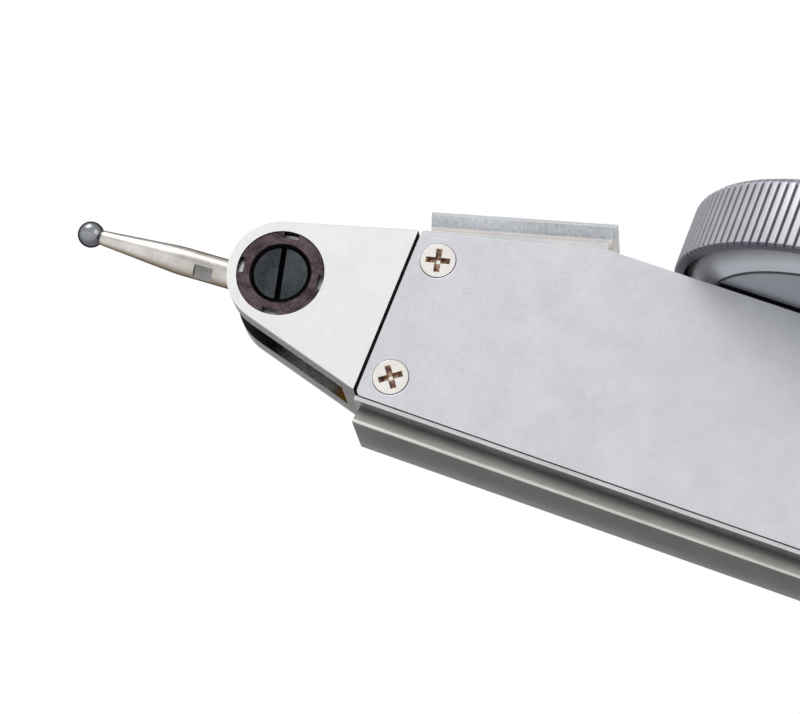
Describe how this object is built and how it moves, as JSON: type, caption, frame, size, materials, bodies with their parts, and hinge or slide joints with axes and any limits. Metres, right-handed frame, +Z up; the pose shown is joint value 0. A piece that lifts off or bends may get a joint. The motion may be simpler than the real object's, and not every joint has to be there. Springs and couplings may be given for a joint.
{
  "type": "dial test indicator",
  "caption": "Lever-type dial test indicator with a swivelling ball-tipped stylus, dovetail mounts, and a tilted dial under a turning knurled bezel.",
  "frame": {"origin": "centre of the bottom dovetail's base face", "axes": "+Z up through the dial along the hand's axis, +X from the contact ball to the rear, +Y across the body"},
  "size_m": [0.0769, 0.03, 0.025],
  "materials": {
    "satin_steel": "satin ground steel",
    "cover_steel": "satin plated steel",
    "bright_nickel": "bright nickel plate",
    "ground_steel": "fine ground steel",
    "black_oxide": "black oxide",
    "blued_steel": "blued steel",
    "stylus_steel": "turned stainless steel",
    "carbide": "lapped carbide",
    "hub_steel": "turned steel",
    "lever_brass": "machined brass",
    "spring_bronze": "spring bronze",
    "spring_wire": "drawn spring wire",
    "wheel_brass": "cut brass",
    "case_alloy": "satin anodised aluminium",
    "bezel_alloy": "satin plated, straight knurl",
    "dial_white": "matt white lacquer",
    "gasket_rubber": "black rubber",
    "crystal_clear": "clear acrylic",
    "hand_black": "black lacquer"
  },
  "bodies": {
    "housing": {"body_frame": "satin_steel", "side_cover": "cover_steel", "cover_screws": "bright_nickel", "neck_fork": "ground_steel", "pivot_ring_near": "black_oxide", "pivot_ring_far": "black_oxide", "pivot_screw_near": "blued_steel", "pivot_screw_far": "blued_steel", "spring_post": "hub_steel", "return_spring": "spring_wire", "arbor_bush_near": "wheel_brass", "arbor_bush_far": "wheel_brass", "hand_bush": "wheel_brass", "hand_bridge": "wheel_brass", "dial_case": "case_alloy", "case_screws": "hub_steel", "bezel_wire_ring": "spring_wire", "hairspring": "spring_bronze", "hairspring_stud": "hub_steel"},
    "lever": {"lever_fork": "lever_brass", "sector_arm": "lever_brass", "lever_rivets": "hub_steel"},
    "stylus": {"stylus_shank": "stylus_steel", "contact_ball": "carbide", "stylus_hub": "hub_steel", "clutch_sleeve": "hub_steel", "clutch_washers": "spring_bronze"},
    "arbor": {"gear_arbor": "hub_steel", "crown_wheel": "wheel_brass"},
    "hand": {"hand_arbor": "hub_steel", "pointer": "hand_black", "pointer_boss": "wheel_brass", "hairspring_collet": "wheel_brass"},
    "bezel_set": {"bezel": "bezel_alloy", "crystal": "crystal_clear", "dial_plate": "dial_white", "dial_snap_ring": "spring_wire", "crystal_gasket": "gasket_rubber"}
  },
  "joints": [
    {"name": "lever_pivot", "type": "hinge", "parent": "housing", "child": "lever", "pos_m": [-0.032, 0, 0.0086], "axis": [0, 1, 0], "range_deg": [-2.7, 2.7], "stiffness_Nm_per_rad": 0.1, "springref_deg": -0.06},
    {"name": "stylus_swing", "type": "hinge", "parent": "lever", "child": "stylus", "pos_m": [-0.032, 0, 0.0086], "axis": [0, 1, 0], "range_deg": [-100, 100]},
    {"name": "arbor_spin", "type": "hinge", "parent": "housing", "child": "arbor", "pos_m": [0.0096, 0, 0.0086], "axis": [0, 1, 0], "range_deg": [-80, 80]},
    {"name": "hand_spin", "type": "hinge", "parent": "housing", "child": "hand", "pos_m": [0.0096, 0, 0.02], "axis": [0, 0, 1], "range_deg": [-360, 360], "stiffness_Nm_per_rad": 0.0000002},
    {"name": "bezel_turn", "type": "hinge", "parent": "housing", "child": "bezel_set", "pos_m": [0.0096, 0, 0.022], "axis": [0, 0, 1], "continuous": true}
  ],
  "couplings": [
    {"joint": "arbor_spin", "follows": "lever_pivot", "ratio": -28.714},
    {"joint": "hand_spin", "follows": "lever_pivot", "ratio": 131.27}
  ]
}
